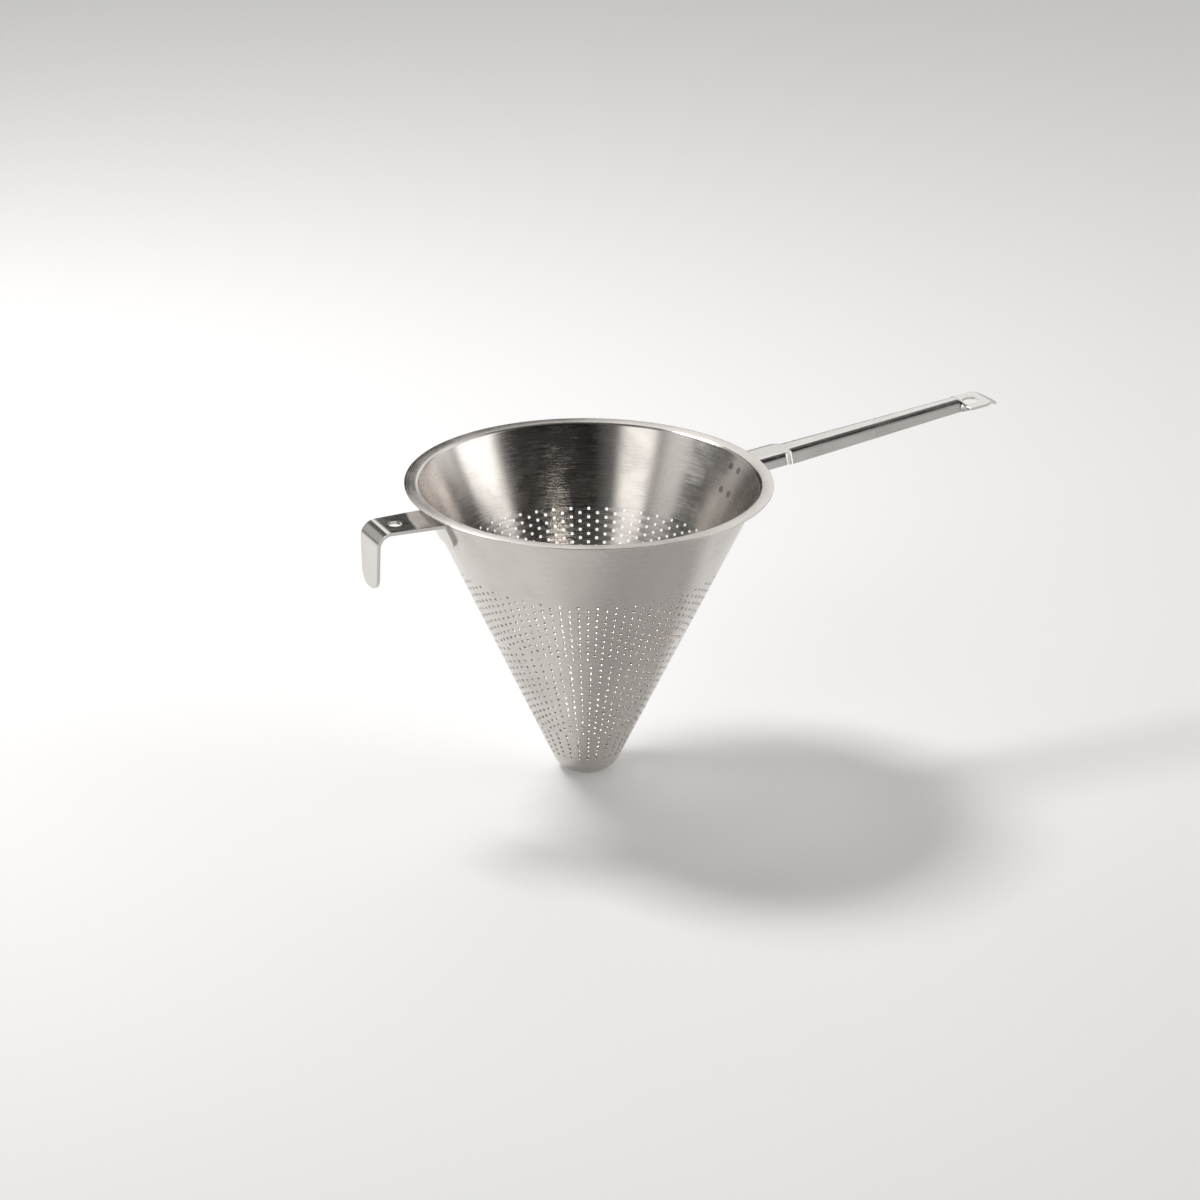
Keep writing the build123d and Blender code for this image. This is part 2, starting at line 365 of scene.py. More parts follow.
def round_corner(corner: Pair, way_in: float, way_out: float,
                 radius: float, steps: int) -> list[Pair]:
    """Points of an arc that rounds a corner of a half-section.

    Args:
        corner: radius and height of the sharp corner.
        way_in: direction of travel before it, as an angle from level.
        way_out: direction of travel after it.
        radius: the arc's radius.
        steps: number of straight pieces.

    Returns:
        The arc's points, in the order of travel.
    """
    turn = way_out - way_in
    reach = radius * math.tan(abs(turn) / 2)
    side = math.copysign(1.0, turn)
    start = (corner[0] - reach * math.cos(way_in), corner[1] - reach * math.sin(way_in))
    bend = side * radius
    centre = (start[0] - bend * math.sin(way_in), start[1] + bend * math.cos(way_in))
    points = []
    for i in range(steps + 1):
        angle = way_in + turn * i / steps
        across, up = bend * math.sin(angle), bend * math.cos(angle)
        points.append((centre[0] + across, centre[1] - up))
    return points


@dataclass(frozen=True)
class Zone:
    """Rows of holes of one spacing, with the slope distance of the highest row."""

    first: float
    rows: int
    holes: int
    pitch: float
    staggered: bool

    @property
    def top(self) -> float:
        """Slope distance of the zone's upper edge."""
        return self.first + self.pitch / 2

    @property
    def foot(self) -> float:
        """Slope distance of the zone's lower edge."""
        return self.first - self.pitch * (self.rows - 0.5)


@dataclass
class StrainerBody:
    """The perforated cone with its flange and its rounded tip."""

    cone: Cone
    finish: SatinSteel
    tip_bend: float = 12.0 * MM
    rim_bend: float = 1.6 * MM
    edge_round: float = 0.22 * MM
    hole_diameter: float = 2.0 * MM
    row_land: float = 0.525 * MM
    tip_row_land: float = 1.8 * MM
    plain_band: float = 52.4 * MM
    tip_margin: float = 7.6 * MM
    hole_steps: int = 16
    cell_steps: int = 6
    arc_steps: int = 10
    band_steps: int = 8
    edge_steps: int = 3
    weld_distance: float = 0.002 * MM
    crisp_degrees: float = 40.0

    def zones(self) -> list[Zone]:
        """The zones of rows, from the top."""
        cone = self.cone
        top_row = cone.slope_distance(cone.height) - self.plain_band
        turn_reach = self.tip_bend * math.tan(math.pi / 4 - cone.lean / 2)
        stretch = top_row - cone.slope_distance(0.0) - turn_reach - self.tip_margin
        zones = []
        for start, length, holes, land, staggered in (
            (0.0, 0.327, 45, self.row_land, True),
            (0.363, 0.461, 30, self.row_land, True),
            (0.856, 0.145, 30, self.tip_row_land, False),
        ):
            pitch = self.hole_diameter + land
            rows = int(stretch * length / pitch) + 1
            zones.append(Zone(top_row - stretch * start, rows, holes, pitch, staggered))
        return zones

    def build(self) -> bpy.types.Object:
        """Makes the closed sheet with all its holes."""
        sheet = RoundSheet(self.cone)
        zones = self.zones()
        for zone in zones:
            for row in range(zone.rows):
                stagger = 0.5 * (row % 2) if zone.staggered else 0.5
                self.add_cells(sheet, zone.first - zone.pitch * row, zone, stagger)
        for depth in (0.0, self.cone.sheet):
            self.add_plain_bands(sheet, zones, depth)
        self.add_flange_edge(sheet, zones[0].holes * self.cell_steps)
        mesh = sheet.mesh("strainer_cone")
        finish_mesh(mesh, self.weld_distance, self.crisp_degrees)
        return make_object("strainer_cone", mesh)

    def add_cells(self, sheet: "RoundSheet", distance: float, zone: Zone, stagger: float) -> None:
        """Adds one row of holes, each in a cell of sheet, on both skins.

        Args:
            sheet: the sheet that grows.
            distance: slope distance of the row.
            zone: the zone it belongs to.
            stagger: turn of the row, in cells.
        """
        half_angle = math.pi / zone.holes
        centres = ((np.arange(zone.holes) + stagger) * 2 * half_angle)[:, None]
        side = self.cell_steps // 2
        top = [(step / side, 1.0) for step in range(side, -side - 1, -1)]
        edge = [(1.0, 0.0)] + top + [(-1.0, 0.0)] + [(-u, -v) for u, v in top]
        across = np.array([u for u, v in edge])
        along = np.array([v for u, v in edge])
        angles = 2 * np.pi * np.arange(self.hole_steps) / self.hole_steps
        radius = self.hole_diameter / 2
        rims = []
        for depth in (0.0, self.cone.sheet):
            cell_distance = distance + along * zone.pitch / 2
            cell = sheet.add(centres + across * half_angle, cell_distance, depth)
            rim_distance = distance + radius * np.sin(angles)
            wall_radius = self.cone.on_slope(rim_distance, depth)[0]
            turns = np.arcsin(radius * np.cos(angles) / wall_radius)
            rim = sheet.add(centres + turns, rim_distance, depth)
            sheet.loops(cell, rim)
            rims.append(rim)
        sheet.loops(rims[0], rims[1])

    def add_plain_bands(self, sheet: "RoundSheet", zones: list[Zone], depth: float) -> None:
        """Adds the bands without holes of one skin, from the tip's centre to the flange's edge.

        Args:
            sheet: the sheet that grows.
            zones: the zones of rows, from the top.
            depth: depth of the skin.
        """
        cone = self.cone
        upper, middle, lower = zones
        upper_steps, middle_steps, lower_steps = (zone.holes * self.cell_steps for zone in zones)
        slope = math.pi / 2 - cone.lean
        tip_corner = cone.on_slope(cone.slope_distance(depth, depth), depth)
        rim_height = cone.flange_underside + depth
        rim_corner = cone.on_slope(cone.slope_distance(rim_height, depth), depth)
        tip_arc = round_corner(tip_corner, 0.0, slope, self.tip_bend - depth, self.arc_steps)
        rim_arc = round_corner(rim_corner, slope, 0.0, self.rim_bend + depth, self.arc_steps)
        sheet.disc(tip_arc[0], lower_steps)
        sheet.bands(tip_arc + [cone.on_slope(lower.foot, depth)], lower_steps)
        between = [cone.on_slope(lower.top, depth), cone.on_slope(middle.foot, depth)]
        sheet.bands(between, lower_steps)
        sheet.stitch(cone.on_slope(middle.top, depth), cone.on_slope(upper.foot, depth),
                     middle_steps, upper_steps)
        rise = cone.slope_distance(rim_arc[0][1], depth) - upper.top
        steps = self.band_steps
        plain = [cone.on_slope(upper.top + rise * i / steps, depth) for i in range(steps)]
        flange_end = (cone.flange_radius - self.edge_round, rim_height)
        sheet.bands(plain + rim_arc + [flange_end], upper_steps)

    def add_flange_edge(self, sheet: "RoundSheet", steps: int) -> None:
        """Adds the flange's edge with its two small roundings.

        Args:
            sheet: the sheet that grows.
            steps: straight pieces round it.
        """
        cone = self.cone
        under = (cone.flange_radius, cone.flange_underside)
        over = (cone.flange_radius, cone.height)
        profile = round_corner(under, 0.0, math.pi / 2, self.edge_round, self.edge_steps)
        profile += round_corner(over, math.pi / 2, math.pi, self.edge_round, self.edge_steps)
        sheet.bands(profile, steps)

    def dress(self, piece: bpy.types.Object) -> None:
        """Gives the cone its finish and its place in the frame."""
        piece.data.materials.append(self.finish.material())
        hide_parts("strainer_body")
        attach(piece, BODY)


class RoundSheet:
    """Points and faces of a sheet round the Z axis, on two skins."""

    def __init__(self, cone: Cone) -> None:
        """Starts an empty sheet on a cone."""
        self.cone = cone
        self.points: list[np.ndarray] = []
        self.faces: list[np.ndarray] = []
        self.triangles: list[np.ndarray] = []
        self.count = 0

    def add(self, angles: np.ndarray, distance: np.ndarray, depth: float) -> np.ndarray:
        """Adds points of the cone's skin.

        Args:
            angles: angle of each point, one row for each hole.
            distance: slope distance of each point in a row.
            depth: depth of the skin.

        Returns:
            The points' numbers, in the shape of the angles.
        """
        radius, height = self.cone.on_slope(distance, depth)
        return self.add_round(angles, radius, height)

    def add_round(self, angles: np.ndarray, radius: float | np.ndarray,
                  height: float | np.ndarray) -> np.ndarray:
        """Adds points by angle, radius and height, and returns their numbers."""
        heights = np.broadcast_to(height, angles.shape)
        points = np.stack([radius * np.cos(angles), radius * np.sin(angles), heights], -1)
        self.points.append(points.reshape(-1, 3))
        numbers = np.arange(self.count, self.count + angles.size).reshape(angles.shape)
        self.count += angles.size
        return numbers

    def loops(self, first: np.ndarray, second: np.ndarray) -> None:
        """Adds the faces between two closed loops, one pair of loops a row."""
        after_first, after_second = np.roll(first, -1, 1), np.roll(second, -1, 1)
        self.faces.append(np.stack([first, after_first, after_second, second], -1).reshape(-1, 4))

    def ring(self, point: Pair, steps: int) -> np.ndarray:
        """Adds a full ring at a radius and a height, and returns its points' numbers."""
        angles = 2 * np.pi * np.arange(steps)[None, :] / steps
        return self.add_round(angles, *point)

    def bands(self, profile: list[Pair], steps: int) -> None:
        """Adds the bands of faces between the points of a profile."""
        rings = [self.ring(point, steps) for point in profile]
        for lower, upper in zip(rings, rings[1:]):
            self.loops(lower, upper)

    def disc(self, point: Pair, steps: int) -> None:
        """Adds a flat disc inside a ring."""
        shares = (1.0, 0.6, 0.25)
        rings = [self.ring((point[0] * share, point[1]), steps) for share in shares]
        for outer, inner in zip(rings, rings[1:]):
            self.loops(outer, inner)
        centre = self.ring((0.0, point[1]), 1)[0, 0]
        last = rings[-1][0]
        self.triangles.append(np.stack([last, np.roll(last, -1), np.full(steps, centre)], -1))

    def stitch(self, lower_point: Pair, upper_point: Pair,
               lower_steps: int, upper_steps: int) -> None:
        """Adds a band between two rings of which the upper has three pieces to the lower's two.

        Args:
            lower_point: radius and height of the lower ring.
            upper_point: radius and height of the upper ring.
            lower_steps: pieces of the lower ring.
            upper_steps: pieces of the upper ring.
        """
        lower = self.ring(lower_point, lower_steps)[0].reshape(-1, 2)
        upper = self.ring(upper_point, upper_steps)[0].reshape(-1, 3)
        next_lower, next_upper = np.roll(lower[:, 0], -1), np.roll(upper[:, 0], -1)
        self.faces.append(np.stack([lower[:, 0], lower[:, 1], upper[:, 1], upper[:, 0]], -1))
        self.faces.append(np.stack([lower[:, 1], next_lower, next_upper, upper[:, 2]], -1))
        self.triangles.append(np.stack([lower[:, 1], upper[:, 2], upper[:, 1]], -1))

    def mesh(self, name: str) -> bpy.types.Mesh:
        """Makes the mesh of all points and faces."""
        points = np.concatenate(self.points)
        quads = np.concatenate(self.faces).tolist()
        triangles = np.concatenate(self.triangles).tolist()
        made = bpy.data.meshes.new(name)
        made.from_pydata(points.tolist(), [], quads + triangles)
        return made


class Strip:
    """Grid of points over the upper face of a bent strip, with places for round holes."""

    def __init__(self, rows: list[list[Vector]]) -> None:
        """Takes the rows of points, each from one edge to the other."""
        self.rows = rows
        self.open_cells: set[tuple[int, int]] = set()
        self.holes: list[tuple[range, range, Vector, float]] = []

    def leave_out(self, rows: range, columns: range) -> None:
        """Leaves cells of the grid without sheet."""
        self.open_cells |= {(row, column) for row in rows for column in columns}

    def pierce(self, rows: range, columns: range, centre: Vector, radius: float) -> None:
        """Opens a round hole inside a block of cells that lie in one plane.

        Args:
            rows: the block's cells along the strip.
            columns: the block's cells across it.
            centre: the hole's centre.
            radius: the hole's radius.
        """
        self.leave_out(rows, columns)
        self.holes.append((rows, columns, centre, radius))

    def block_outline(self, rows: range, columns: range) -> list[tuple[int, int]]:
        """Grid places round a block of cells, in order."""
        low, high, left, right = rows.start, rows.stop, columns.start, columns.stop
        outline = [(low, column) for column in range(left, right)]
        outline += [(row, right) for row in range(low, high)]
        outline += [(high, column) for column in range(right, left, -1)]
        return outline + [(row, left) for row in range(high, low, -1)]

    def build(self, name: str, sheet: float, edge_round: float) -> bpy.types.Object:
        """Makes the strip's solid, with its thickness under the grid and softly rounded edges.

        Args:
            name: the object's name.
            sheet: thickness of the sheet.
            edge_round: radius of the rounding along its edges.

        Returns:
            The strip's object.
        """
        work = bmesh.new()
        grid = [[work.verts.new(point) for point in row] for row in self.rows]
        for i, (row, after) in enumerate(zip(grid, grid[1:])):
            for j in range(len(row) - 1):
                if (i, j) not in self.open_cells:
                    work.faces.new((row[j], row[j + 1], after[j + 1], after[j]))
        for rows, columns, centre, radius in self.holes:
            outline = [grid[i][j] for i, j in self.block_outline(rows, columns)]
            rim = [work.verts.new(centre + (vert.co - centre).normalized() * radius)
                   for vert in outline]
            for k, vert in enumerate(outline):
                work.faces.new((outline[k - 1], vert, rim[k], rim[k - 1]))
        loose = [vert for vert in work.verts if not vert.link_faces]
        bmesh.ops.delete(work, geom=loose, context="VERTS")
        bmesh.ops.recalc_face_normals(work, faces=work.faces)
        if sum(face.normal.z * face.calc_area() for face in work.faces) < 0:
            bmesh.ops.reverse_faces(work, faces=work.faces)
        mesh = bpy.data.meshes.new(name)
        work.to_mesh(mesh)
        work.free()
        piece = make_object(name, mesh)
        thick = piece.modifiers.new("sheet", "SOLIDIFY")
        thick.thickness = sheet
        thick.offset = -1.0
        soft = piece.modifiers.new("soft edges", "BEVEL")
        soft.width = edge_round
        soft.segments = 2
        soft.limit_method = "ANGLE"
        soft.angle_limit = EDGE_ANGLE
        even = piece.modifiers.new("even shading", "WEIGHTED_NORMAL")
        even.keep_sharp = True
        mesh.shade_smooth()
        apply_modifiers(piece)
        return piece


class BentLine:
    """Line of straight runs and arcs in a half-section, as points with their distance along it."""

    def __init__(self, corners: list[Pair], radii: list[float], arc_steps: int) -> None:
        """Lays the line through its corners.

        Args:
            corners: radius and height of each corner, with the two ends.
            radii: radius of the arc at each inner corner.
            arc_steps: straight pieces of each arc.
        """
        ways = [math.atan2(b[1] - a[1], b[0] - a[0]) for a, b in zip(corners, corners[1:])]
        points = [corners[0]]
        for corner, way_in, way_out, radius in zip(corners[1:], ways, ways[1:], radii):
            points += round_corner(corner, way_in, way_out, radius, arc_steps)
        self.points = np.array(points + [corners[-1]])
        steps = np.hypot(*np.diff(self.points, axis=0).T)
        self.distances = np.concatenate([[0.0], np.cumsum(steps)])
        arc_middles = range(1 + arc_steps // 2, len(self.points) - 1, arc_steps + 1)
        self.corner_distances = [float(self.distances[i]) for i in arc_middles]

    @property
    def length(self) -> float:
        """The line's whole length."""
        return float(self.distances[-1])

    def distance_at(self, radius: float) -> float:
        """Distance along the line at which it first comes to a radius."""
        return float(np.interp(radius, self.points[:, 0], self.distances))

    def at(self, distance: float) -> Vector:
        """Point of the line at a distance along it."""
        radius, height = (np.interp(distance, self.distances, column) for column in self.points.T)
        return Vector((radius, 0.0, height))


def apply_modifiers(piece: bpy.types.Object) -> None:
    """Turns an object's modifiers into its mesh."""
    evaluated = piece.evaluated_get(bpy.context.evaluated_depsgraph_get())
    mesh = bpy.data.meshes.new_from_object(evaluated)
    piece.modifiers.clear()
    piece.data = mesh


def corner_width(half: float, corner: float, from_end: float) -> float:
    """Half width of a strip with rounded corners, at a distance from its end."""
    if from_end >= corner:
        return half
    return half - corner + math.sqrt(max(corner ** 2 - (corner - from_end) ** 2, 0.0))


def corner_distances(corner: float, steps: int) -> list[float]:
    """Distances from a rounded end at which rows of points follow its corners."""
    return [corner * (1 - math.cos(math.pi / 2 * i / steps)) for i in range(steps + 1)]


def end_distances(length: float, corner: float, steps: int) -> list[float]:
    """Distances along a line at which rows follow the corners at its far end."""
    return [length - distance for distance in reversed(corner_distances(corner, steps))]


def even_steps(start: float, end: float, size: float) -> list[float]:
    """Numbers from a start up to but not with an end, about a size apart."""
    count = max(1, round((end - start) / size))
    return [start + (end - start) * i / count for i in range(count)]


def round_the_cone(point: Vector, across: float) -> Vector:
    """Point to the side of one in the half-section, at the same radius and height."""
    return Vector((math.sqrt(point.x ** 2 - across ** 2), across, point.z))


@dataclass
class Hook:
    """The bent strip that hangs the strainer on a rim, with its tang on the cone."""

    cone: Cone
    finish: SatinSteel
    sheet: float = 2.0 * MM
    width: float = 28.0 * MM
    crease_width: float = 24.6 * MM
    end_width: float = 21.0 * MM
    end_corner: float = 8.0 * MM
    drop: float = 7.0 * MM
    reach: float = 38.0 * MM
    bend: float = 9.0 * MM
    leg: float = 35.5 * MM
    tang: float = 18.0 * MM
    tang_bend: float = 3.5 * MM
    tang_corner: float = 8.0 * MM
    hole_radius: float = 4.25 * MM
    hole_reach: float = 22.0 * MM
    edge_round: float = 0.3 * MM
    cells_across: int = 18
    hole_cells: int = 8
    hole_block: float = 11.6 * MM
    row: float = 2.0 * MM
    fine_row: float = 0.7 * MM
    corner_rows: int = 8
    arc_steps: int = 12

    def line(self) -> BentLine:
        """Line of the hook's upper face, from the tang's lower end to the leg's end."""
        cone = self.cone
        top = cone.height - self.drop
        corner = cone.slope_distance(top)
        outer = cone.mouth_radius + self.reach
        corners = [cone.on_slope(corner - self.tang), cone.on_slope(corner)]
        corners += [(outer, top), (outer, top - self.leg)]
        return BentLine(corners, [self.tang_bend, self.bend], self.arc_steps)

    def build(self) -> bpy.types.Object:
        """Makes the hook, turned to its side of the cone."""
        line = self.line()
        cone = self.cone
        hole_middle = line.distance_at(cone.mouth_radius + self.hole_reach)
        block_start = hole_middle - self.hole_block / 2
        block_end = hole_middle + self.hole_block / 2
        turn_start = line.corner_distances[0] - self.tang_bend
        turn_end = line.corner_distances[0] + self.tang_bend
        bend_start = line.distance_at(cone.mouth_radius + self.reach - self.bend)
        bend_end = bend_start + self.bend * math.pi / 2
        rows = corner_distances(self.tang_corner, self.corner_rows)
        rows += even_steps(self.tang_corner, turn_start, self.row)[1:]
        rows += even_steps(turn_start, turn_end, self.fine_row)
        rows += even_steps(turn_end, block_start, self.row)
        first = len(rows)
        rows += even_steps(block_start, block_end, self.hole_block / self.hole_cells)
        rows += even_steps(block_end, bend_start, self.row)
        rows += even_steps(bend_start, bend_end, self.fine_row)
        rows += even_steps(bend_end, line.length - self.end_corner, self.row)
        rows += end_distances(line.length, self.end_corner, self.corner_rows)
        strip = Strip([self.row_points(line, distance) for distance in rows])
        left = (self.cells_across - self.hole_cells) // 2
        centre = Vector((cone.mouth_radius + self.hole_reach, 0.0, cone.height - self.drop))
        block = range(left, left + self.hole_cells)
        strip.pierce(range(first, first + self.hole_cells), block, centre, self.hole_radius)
        piece = strip.build("hanging_hook", self.sheet, self.edge_round)
        piece.data.transform(Matrix.Rotation(math.pi, 4, "Z"))
        return piece

    def row_points(self, line: BentLine, distance: float) -> list[Vector]:
        """Points across the hook at a distance along it.

        Args:
            line: the hook's line.
            distance: distance from the tang's lower end.

        Returns:
            The points, from one edge to the other.
        """
        middle = line.at(distance)
        half = self.half_width(line, distance, middle)
        shares = [2 * i / self.cells_across - 1 for i in range(self.cells_across + 1)]
        if middle.x < self.cone.mouth_radius:
            return [round_the_cone(middle, half * share) for share in shares]
        return [middle + Vector((0.0, half * share, 0.0)) for share in shares]

    def half_width(self, line: BentLine, distance: float, middle: Vector) -> float:
        """Half width of the hook at a distance along it.

        Args:
            line: the hook's line.
            distance: distance from the tang's lower end.
            middle: the line's point there.

        Returns:
            The half width.
        """
        cone = self.cone
        crease = cone.mouth_radius + self.reach - self.bend
        leg_top = cone.height - self.drop - self.bend
        if middle.x < crease:
            share = (middle.x - cone.mouth_radius) / (crease - cone.mouth_radius)
            width = self.width + (self.crease_width - self.width) * min(max(share, 0.0), 1.0)
            return corner_width(width / 2, self.tang_corner, distance)
        down = max(leg_top - middle.z, 0.0) / (self.leg - self.bend)
        width = self.crease_width + (self.end_width - self.crease_width) * down
        return corner_width(width / 2, self.end_corner, line.length - distance)

    def dress(self, piece: bpy.types.Object) -> None:
        """Gives the hook its finish and its place in the frame."""
        piece.data.materials.clear()
        piece.data.materials.append(self.finish.material())
        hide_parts("hook")
        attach(piece, BODY)


@dataclass
class Handle:
    """The pressed strip with its tang, root, gutter-shaped grip, tongue and nose."""

    cone: Cone
    finish: SatinSteel
    sheet: float = 1.5 * MM
    rise: float = math.radians(6.5)
    tang: float = 30.0 * MM
    tang_bend: float = 3.0 * MM
    tang_corner: float = 5.0 * MM
    root_width: float = 19.2 * MM
    root_side: float = 7.0 * MM
    root_length: float = 17.0 * MM
    shoulder: float = 6.0 * MM
    grip_width: float = 12.4 * MM
    grip_side: float = 9.0 * MM
    grip_length: float = 118.0 * MM
    grip_end_width: float = 7.6 * MM
    grip_end_side: float = 7.4 * MM
    channel_bend: float = 2.6 * MM
    side_fold: float = math.radians(76)
    front_corner: float = 2.5 * MM
    tongue_width: float = 23.0 * MM
    tongue_drop: float = 4.0 * MM
    tongue_step: float = 3.5 * MM
    tongue_length: float = 15.0 * MM
    tongue_corner: float = 4.5 * MM
    nose_length: float = 8.0 * MM
    nose_turn: float = math.radians(32)
    nose_width: float = 11.0 * MM
    hole_radius: float = 5.0 * MM
    hole_reach: float = 5.5 * MM
    root_turn: float = 6.0 * MM
    step_bend: float = 3.0 * MM
    foot_bend: float = 1.6 * MM
    nose_bend: float = 4.0 * MM
    fold_start: float = 3.0 * MM
    open_lead: float = 1.4 * MM
    edge_round: float = 0.25 * MM
    arc_steps: int = 12
    flat_cells: int = 6
    bend_cells: int = 5
    side_cells: int = 4
    hole_rows: int = 12
    hole_columns: int = 16
    hole_block: float = 10.8 * MM
    corner_rows: int = 6
    row: float = 2.0 * MM
    fine_row: float = 0.5 * MM
    long_row: float = 8.0 * MM

    @property
    def start(self) -> Vector:
        """Point of the upper face at the flange's edge."""
        return Vector((self.cone.flange_radius, 0.0, self.cone.flange_underside))

    @property
    def along(self) -> Vector:
        """Direction of the grip."""
        return Vector((math.cos(self.rise), 0.0, math.sin(self.rise)))

    @property
    def above(self) -> Vector:
        """Direction square to the grip's flat top."""
        return Vector((-math.sin(self.rise), 0.0, math.cos(self.rise)))

    @property
    def grip_end(self) -> float:
        """Distance along the grip from the flange's edge to the step."""
        return self.root_length + self.shoulder + self.grip_length

    @property
    def tongue_end(self) -> float:
        """Distance along the grip from the flange's edge to the nose's tip."""
        nose_reach = self.nose_length * math.cos(self.nose_turn)
        return self.grip_end + self.tongue_step + self.tongue_length + nose_reach

    @property
    def half_cells(self) -> int:
        """Cells on each side of the handle's middle."""
        return self.flat_cells + self.bend_cells + self.side_cells

    @property
    def bend_length(self) -> float:
        """Length of sheet in each of the gutter's two bends."""
        return self.channel_bend * self.side_fold

    @property
    def bend_reach(self) -> float:
        """Part of the flat top and of a side that each bend takes up."""
        return self.channel_bend * math.tan(self.side_fold / 2)

    def line(self) -> BentLine:
        """Line of the handle's upper face, from the tang's lower end to the nose's tip."""
        cone = self.cone
        under = cone.flange_underside
        corner = cone.slope_distance(under)
        end = self.grip_end
        foot = end + self.tongue_step
        nose = foot + self.tongue_length
        low = -self.tongue_drop
        tip = (self.tongue_end, low - self.nose_length * math.sin(self.nose_turn))
        corners = [cone.on_slope(corner - self.tang), cone.on_slope(corner)]
        for distance, height in ((0.0, 0.0), (end, 0.0), (foot, low), (nose, low), tip):
            point = self.start + self.along * distance + self.above * height
            corners.append((point.x, point.z))
        radii = [self.tang_bend, self.root_turn, self.step_bend, self.foot_bend, self.nose_bend]
        return BentLine(corners, radii, self.arc_steps)

    def widths(self, along: float) -> Pair:
        """Width of the flat top and length of a side, both up to their sharp corner.

        Args:
            along: distance from the flange's edge.

        Returns:
            The width and the side's length.
        """
        shoulder = smooth_step((along - self.root_length) / self.shoulder)
        grip = min(max((along - self.root_length - self.shoulder) / self.grip_length, 0.0), 1.0)
        width = self.root_width + (self.grip_width - self.root_width) * shoulder
        side = self.root_side + (self.grip_side - self.root_side) * shoulder
        width += (self.grip_end_width - self.grip_width) * grip
        side += (self.grip_end_side - self.grip_side) * grip
        from_edge = min(max(along, 0.0), self.front_corner)
        inside = math.sqrt(self.front_corner ** 2 - (self.front_corner - from_edge) ** 2)
        return width, side - (self.front_corner - inside)

    def tongue_outline(self) -> BentLine:
        """Outline of one half of the tongue and the nose, as distance along and across."""
        foot = self.grip_end + self.tongue_step
        narrow = foot + self.tongue_length - self.nose_length / 2
        half, nose_half = self.tongue_width / 2, self.nose_width / 2
        end = self.tongue_end
        corners = [(foot - self.tongue_step, half), (narrow, half), (end, nose_half), (end, 0.0)]
        return BentLine(corners, [self.tongue_corner, self.tongue_corner], self.arc_steps)

    def build(self) -> bpy.types.Object:
        """Makes the handle."""
        line = self.line()
        outline = self.tongue_outline().points[:-1]
        bend, edge, grip_end, foot = line.corner_distances[:4]
        hole_middle = foot + self.hole_reach
        block_start = hole_middle - self.hole_block / 2
        block_end = hole_middle + self.hole_block / 2
        rows = corner_distances(self.tang_corner, self.corner_rows)
        rows += even_steps(self.tang_corner, bend - self.tang_bend, self.row)[1:]
        rows += even_steps(bend - self.tang_bend, edge, self.fine_row)
        first_side = len(rows)
        rows += even_steps(edge, edge + self.front_corner, self.fine_row)
        rows += even_steps(edge + self.front_corner, edge + self.root_length, self.row)
        shoulder_end = edge + self.root_length + self.shoulder
        rows += even_steps(edge + self.root_length, shoulder_end, self.fine_row)
        rows += even_steps(shoulder_end, grip_end - self.tang_bend, self.long_row)
        rows += even_steps(grip_end - self.tang_bend, block_start, self.fine_row)
        first_hole = len(rows)
        rows += even_steps(block_start, block_end, self.hole_block / self.hole_rows)
        end = line.length - self.tongue_corner
        rows += even_steps(block_end, end, self.fine_row)
        rows += end_distances(line.length, self.tongue_corner, self.corner_rows)
        strip = Strip([self.row_points(line, distance, outline) for distance in rows])
        columns = 2 * self.half_cells
        strip.leave_out(range(0, first_side), range(0, self.side_cells))
        strip.leave_out(range(0, first_side), range(columns - self.side_cells, columns))
        left = (columns - self.hole_columns) // 2
        block = range(left, left + self.hole_columns)
        centre = line.at(hole_middle)
        hole_rows = range(first_hole, first_hole + self.hole_rows)
        strip.pierce(hole_rows, block, centre, self.hole_radius)
        return strip.build("gutter_handle", self.sheet, self.edge_round)

    def row_points(self, line: BentLine, distance: float, outline: np.ndarray) -> list[Vector]:
        """Points across the handle at a distance along it.

        Args:
            line: the handle's line.
            distance: distance along the line from the tang's lower end.
            outline: points of the tongue's outline.

        Returns:
            The points, from one edge to the other.
        """
        middle = line.at(distance)
        along = (middle - self.start).dot(self.along)
        width, side = self.widths(along)
        bend_length, reach = self.bend_length, self.bend_reach
        folded = smooth_step((along + self.fold_start) / self.fold_start)
        opening = self.tongue_step + self.open_lead
        opened = smooth_step((along - self.grip_end + self.open_lead) / opening)
        flat = width / 2 - bend_length + (bend_length - reach) * folded
        if along < -self.fold_start:
            share = corner_width(width / 2, self.tang_corner, distance) * 2 / width
            flat, bend_length = flat * share, bend_length * share
        tongue = float(np.interp(along, outline[:, 0], outline[:, 1]))
        points = []
        for i in range(-self.half_cells, self.half_cells + 1):
            place = self.unrolled(abs(i), flat, bend_length, side - reach)
            place += (tongue * abs(i) / self.half_cells - place) * opened
            fold = self.side_fold * folded * (1 - opened)
            across, down = self.folded(place, flat, bend_length, fold)
            across = math.copysign(across, i)
            if along < -self.fold_start:
                points.append(round_the_cone(middle, across))
            else:
                points.append(middle + Vector((0.0, across, 0.0)) - self.above * down)
        return points

    def unrolled(self, cell: int, flat: float, bend_length: float, side: float) -> float:
        """Distance of a column from the middle, measured along the sheet."""
        place = 0.0
        parts = ((self.flat_cells, flat), (self.bend_cells, bend_length), (self.side_cells, side))
        for cells, length in parts:
            used = min(cell, cells)
            place += length * used / cells
            cell -= used
        return place

